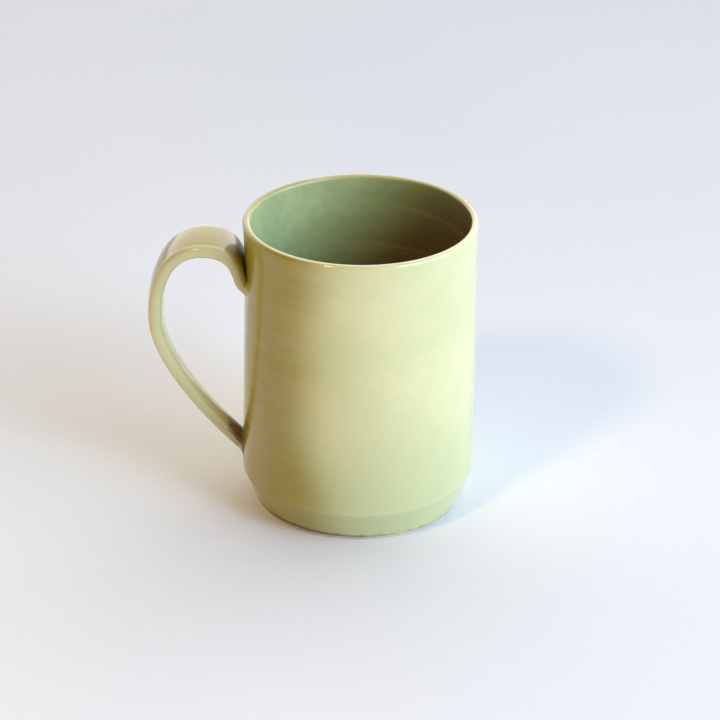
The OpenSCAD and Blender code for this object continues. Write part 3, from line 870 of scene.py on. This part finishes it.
def celadon_outside():
    """Pale celadon: clouds, throwing rings, specks and the painted marks, which hold painted shade
    and highlight.
    """
    mat, tree, bsdf = new_material("outer_celadon")
    vector, (_, _, z) = object_axes(tree)
    clouds = noise_of(tree, vector, scale=28.0, detail=4.0, rough=0.5)
    curdle = noise_of(tree, vector, scale=240.0, detail=3.0, rough=0.55)
    speck = noise_of(tree, vector, scale=900.0, detail=2.0, rough=0.5)
    stretched = mapping(tree, vector, (9.0, 9.0, 520.0))
    rings = noise_of(tree, stretched, scale=1.0, detail=3.0, rough=0.5)
    colour = mix(tree, spread(tree, clouds, 0.3, 0.75, 0.0, 0.7), PALE, GREENER)
    colour = mix(tree, spread(tree, curdle, 0.35, 0.7, 0.0, 0.22), colour, GREENER)
    colour = mix(tree, spread(tree, z, GREEN_FROM_Z * MM, GREEN_FULL_Z * MM), colour, LOW_GREEN)
    # The tan carries painted shade on the handle's side and on the strap's outer face.
    tan = ragged(tree, painted(tree, "tan"), clouds, 0.35, 0.0, 1.0)
    colour = mix(tree, tan, colour, TAN_AND_SHADE)
    # The cream carries a painted highlight on the arch's outer edges.
    colour = mix(tree, painted(tree, "thin"), colour, CREAM_AND_HIGHLIGHT)
    tatter = noise_of(tree, vector, scale=420.0, detail=5.0, rough=0.7)
    # The brown pool carries painted shade in the crevices and painted contact shadow at the foot.
    pool_and_shade = ragged(tree, painted(tree, "pool_and_shade"), tatter, 0.9, 0.28, 0.72)
    colour = mix(tree, pool_and_shade, colour, BROWN_AND_SHADE)
    colour = mix(tree, spread(tree, speck, 0.72, 0.8, 0.0, 0.15), colour, BROWN_AND_SHADE)
    colour = mix(tree, spread(tree, rings, 0.4, 0.7, 0.0, 0.08), colour, GREENER)
    tree.links.new(colour, bsdf.inputs["Base Color"])
    rough = maths(tree, "ADD", spread(tree, clouds, 0.3, 0.7, 0.09, 0.15),
                  spread(tree, curdle, 0.4, 0.7, 0.0, 0.05))
    rough = maths(tree, "ADD", rough, maths(tree, "MULTIPLY", pool_and_shade, 0.35))
    tree.links.new(rough, bsdf.inputs["Roughness"])
    set_finish(bsdf, IOR=1.5, Coat_Weight=0.25, Coat_Roughness=0.04)
    waves = noise_of(tree, vector, scale=150.0, detail=2.0, rough=0.4)
    waves = maths(tree, "MULTIPLY", waves, 0.5)
    height = maths(tree, "ADD", maths(tree, "MULTIPLY", rings, 0.5), waves)
    bumps(tree, bsdf, height, strength=0.25, distance=0.0004)
    return mat


def celadon_inside():
    """Green celadon, olive then brown away from the handle and down the bore: painted shade and
    pooled glaze.
    """
    mat, tree, bsdf = new_material("liner_celadon")
    vector, (x, _, z) = object_axes(tree)
    clouds = noise_of(tree, vector, scale=30.0, detail=5.0, rough=0.55)
    stretched = mapping(tree, vector, (14.0, 14.0, 300.0))
    rings = noise_of(tree, stretched, scale=1.0, detail=4.0, rough=0.6)
    curdle = noise_of(tree, vector, scale=260.0, detail=3.0, rough=0.55)
    colour = mix(tree, spread(tree, clouds, 0.35, 0.68), LINER_GREEN, LINER_DEEP)
    colour = mix(tree, spread(tree, rings, 0.45, 0.75, 0.0, 0.25), colour, LINER_DEEP)
    # Painted shade: the liner darkens away from the handle, where the lights don't reach, and with
    # depth down the bore.
    across = maths(tree, "DIVIDE", x, BORE_R * MM)
    depth = maths(tree, "SUBTRACT", MUG_H * MM, z)
    depth = maths(tree, "DIVIDE", depth, LINER_SHADE_DEPTH * MM)
    shaded = maths(tree, "ADD", across, depth)
    wobble = maths(tree, "ADD", maths(tree, "MULTIPLY", clouds, 0.5),
                   maths(tree, "MULTIPLY", rings, 0.5))
    olive = ragged(tree, shaded, wobble, 0.35, -0.35, 0.6)
    colour = mix(tree, olive, colour, LINER_OLIVE_SHADE)
    brown = ragged(tree, shaded, wobble, 0.45, 0.32, 1.2)
    colour = mix(tree, brown, colour, LINER_BROWN_AND_SHADE)
    colour = mix(tree, spread(tree, curdle, 0.4, 0.75, 0.0, 0.15), colour, LINER_BROWN_AND_SHADE)
    stretched = mapping(tree, vector, (9.0, 9.0, 260.0))
    streaks = noise_of(tree, stretched, scale=1.0, detail=5.0, rough=0.7)
    colour = mix(tree, spread(tree, streaks, 0.48, 0.8, 0.0, 0.22), colour, LINER_GREEN)
    tree.links.new(colour, bsdf.inputs["Base Color"])
    tree.links.new(spread(tree, clouds, 0.3, 0.7, 0.2, 0.32), bsdf.inputs["Roughness"])
    set_finish(bsdf, IOR=1.5, Coat_Weight=0.15, Coat_Roughness=0.12)
    bumps(tree, bsdf, rings, strength=0.12, distance=0.0005)
    return mat


def bare_clay(name, light, dark):
    mat, tree, bsdf = new_material(name)
    vector, _ = object_axes(tree)
    grain = noise_of(tree, vector, scale=700.0, detail=6.0, rough=0.65)
    patches = noise_of(tree, vector, scale=45.0, detail=4.0, rough=0.5)
    colour = mix(tree, spread(tree, patches, 0.35, 0.65), light, dark)
    colour = mix(tree, spread(tree, grain, 0.62, 0.75, 0.0, 0.6), colour, CLAY_GRAIN)
    tree.links.new(colour, bsdf.inputs["Base Color"])
    tree.links.new(spread(tree, grain, 0.3, 0.7, 0.6, 0.9), bsdf.inputs["Roughness"])
    bumps(tree, bsdf, grain, strength=0.5, distance=0.0002)
    return mat


def paper_floor():
    mat, tree, bsdf = new_material("paper")
    vector, _ = object_axes(tree)
    soft = noise_of(tree, vector, scale=4.0, detail=3.0, rough=0.5)
    fibre = noise_of(tree, vector, scale=260.0, detail=4.0, rough=0.6)
    colour = mix(tree, spread(tree, soft, 0.3, 0.7), PAPER, PAPER_SHADE)
    colour = mix(tree, spread(tree, fibre, 0.4, 0.7, 0.0, 0.15), colour, PAPER_FIBRE)
    tree.links.new(colour, bsdf.inputs["Base Color"])
    tree.links.new(spread(tree, fibre, 0.3, 0.7, 0.75, 0.9), bsdf.inputs["Roughness"])
    bumps(tree, bsdf, fibre, strength=0.1, distance=0.0003)
    return mat


# ---- the object ----

def dress(obj, mat, slot, *stands_for):
    """Gives a piece its material and hides the CAD nodes it stands for."""
    obj.data.materials.append(mat)
    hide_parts(*stands_for)
    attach(obj, "root")
    return obj


coat = dress(outer_coat(), celadon_outside(), "outer_celadon", "outer_glaze", "handle_glaze")
liner = dress(liner_coat(), celadon_inside(), "liner_celadon", "liner_glaze")
clay_mat = bare_clay("clay", CLAY_LIGHT, CLAY_DARK)
slip_mat = bare_clay("slip", SLIP_LIGHT, SLIP_DARK)
body = dress(clay_body(), clay_mat, "clay", "mug_body")
strap = dress(clay_handle(), clay_mat, "clay", "handle")
upper_slip = dress(slip_joint(0, "upper_slip"), slip_mat, "slip", "upper_joint")
lower_slip = dress(slip_joint(1, "lower_slip"), slip_mat, "slip", "lower_joint")
for piece in (coat, liner, body, strap, upper_slip, lower_slip):
    face_out(piece)


# ---- floor, light and camera ----

# Metres, but the lens, the sensor and the shift are in millimetres.
CAMERA_TURN = math.radians(-1.0)
CAMERA_PITCH, CAMERA_ROLL = math.radians(25.962), math.radians(0.836)
CAMERA_DISTANCE, CAMERA_SHIFT = 1.08, (0.164, -0.923)
CAMERA_LENS, CAMERA_SENSOR, CAMERA_FAR = 151.30, 36.0, 50.0
FLOOR_HALF = 4.0
ROOM_TURN = 4.5
ROOM_RIGHT, ROOM_BEYOND, ROOM_LEFT = (1.30, 1.335, 1.38), (1.79, 1.79, 1.78), (0.144, 0.094, 0.02)
LIGHT_AIM_Z, LIGHT_POWER = 0.05, 10.0


def floor_plane():
    mesh = bpy.data.meshes.new("floor")
    s = FLOOR_HALF
    mesh.from_pydata([(-s, -s, 0), (s, -s, 0), (s, s, 0), (-s, s, 0)], [], [(0, 1, 2, 3)])
    obj = bpy.data.objects.new("floor", mesh)
    bpy.context.scene.collection.objects.link(obj)
    obj.data.materials.append(paper_floor())


def towards(turn):
    """A level direction, turned in degrees from the camera's right."""
    a = CAMERA_TURN + math.radians(turn)
    return (math.cos(a), math.sin(a), 0.0)


def glow(tree, vector, direction, colour):
    """Light from half of the sky, strongest in one direction."""
    dot = tree.nodes.new("ShaderNodeVectorMath")
    dot.operation = "DOT_PRODUCT"
    tree.links.new(vector, dot.inputs[0])
    dot.inputs[1].default_value = direction
    return mix(tree, spread(tree, dot.outputs["Value"], 0.0, 1.0), BLACK, colour)


def sky():
    """A bright room: pale walls to the right and beyond the mug, a dim one on the left."""
    world = bpy.data.worlds.new("studio")
    bpy.context.scene.world = world
    world.use_nodes = True
    tree = world.node_tree
    tree.nodes.clear()
    out = tree.nodes.new("ShaderNodeOutputWorld")
    back = tree.nodes.new("ShaderNodeBackground")
    vector = tree.nodes.new("ShaderNodeTexCoord").outputs["Generated"]
    right = glow(tree, vector, towards(ROOM_TURN), ROOM_RIGHT)
    beyond = glow(tree, vector, towards(ROOM_TURN + 90), ROOM_BEYOND)
    left = glow(tree, vector, towards(ROOM_TURN + 180), ROOM_LEFT)
    colour = mix(tree, 1.0, right, beyond, "ADD")
    colour = mix(tree, 1.0, colour, left, "ADD")
    tree.links.new(colour, back.inputs[0])
    tree.links.new(back.outputs[0], out.inputs[0])


def light_from(name, turn, rise, distance, side, colour):
    """A square light aimed at the mug, turned from the camera's right and raised, in degrees."""
    e = math.radians(rise)
    way = math.cos(e) * Vector(towards(turn)) + Vector((0, 0, math.sin(e)))
    aim = Vector((0, 0, LIGHT_AIM_Z))
    data = bpy.data.lights.new(name, "AREA")
    data.size = side
    data.energy = LIGHT_POWER
    data.color = colour
    obj = bpy.data.objects.new(name, data)
    bpy.context.scene.collection.objects.link(obj)
    obj.location = aim + way * distance
    obj.rotation_euler = (-way).to_track_quat("-Z", "Y").to_euler()


def place_camera():
    data = bpy.data.cameras.new("camera")
    data.lens, data.sensor_width = CAMERA_LENS, CAMERA_SENSOR
    data.dof.use_dof = False
    data.clip_end = CAMERA_FAR
    obj = bpy.data.objects.new("camera", data)
    bpy.context.scene.collection.objects.link(obj)
    turn = Matrix.Rotation(CAMERA_TURN, 3, "Z")
    forward = turn @ Vector((0, math.cos(CAMERA_PITCH), -math.sin(CAMERA_PITCH)))
    right = turn @ Vector((1, 0, 0))
    up = right.cross(forward)
    right, up = (math.cos(CAMERA_ROLL) * right + math.sin(CAMERA_ROLL) * up,
                 -math.sin(CAMERA_ROLL) * right + math.cos(CAMERA_ROLL) * up)
    shift = (right * CAMERA_SHIFT[0] + up * CAMERA_SHIFT[1]) * MM
    place = Vector((0, 0, MUG_H / 2 * MM)) - forward * CAMERA_DISTANCE + shift
    matrix = Matrix((right, up, -forward)).transposed().to_4x4()
    matrix.translation = place
    obj.matrix_world = matrix
    bpy.context.scene.camera = obj


floor_plane()
sky()
light_from("window_low", -42.5, 22, 1.6, 0.6, (0.35, 0.522, 0.765))
light_from("window_high", -42.5, 33, 1.6, 0.6, (0.32, 0.437, 0.60))
light_from("side_window", -15.5, 14, 1.6, 0.8, (0.545, 0.695, 1.07))
light_from("lamp", -125.5, 45, 1.2, 0.16, (0.44, 0.28, 0.10))
light_from("window_glint", -43.5, 36, 1.6, 0.14, (0.09, 0.13, 0.17))
place_camera()
view = bpy.context.scene.view_settings
view.view_transform, view.look = "Standard", "None"
view.exposure, view.gamma = 0.0, 1.0
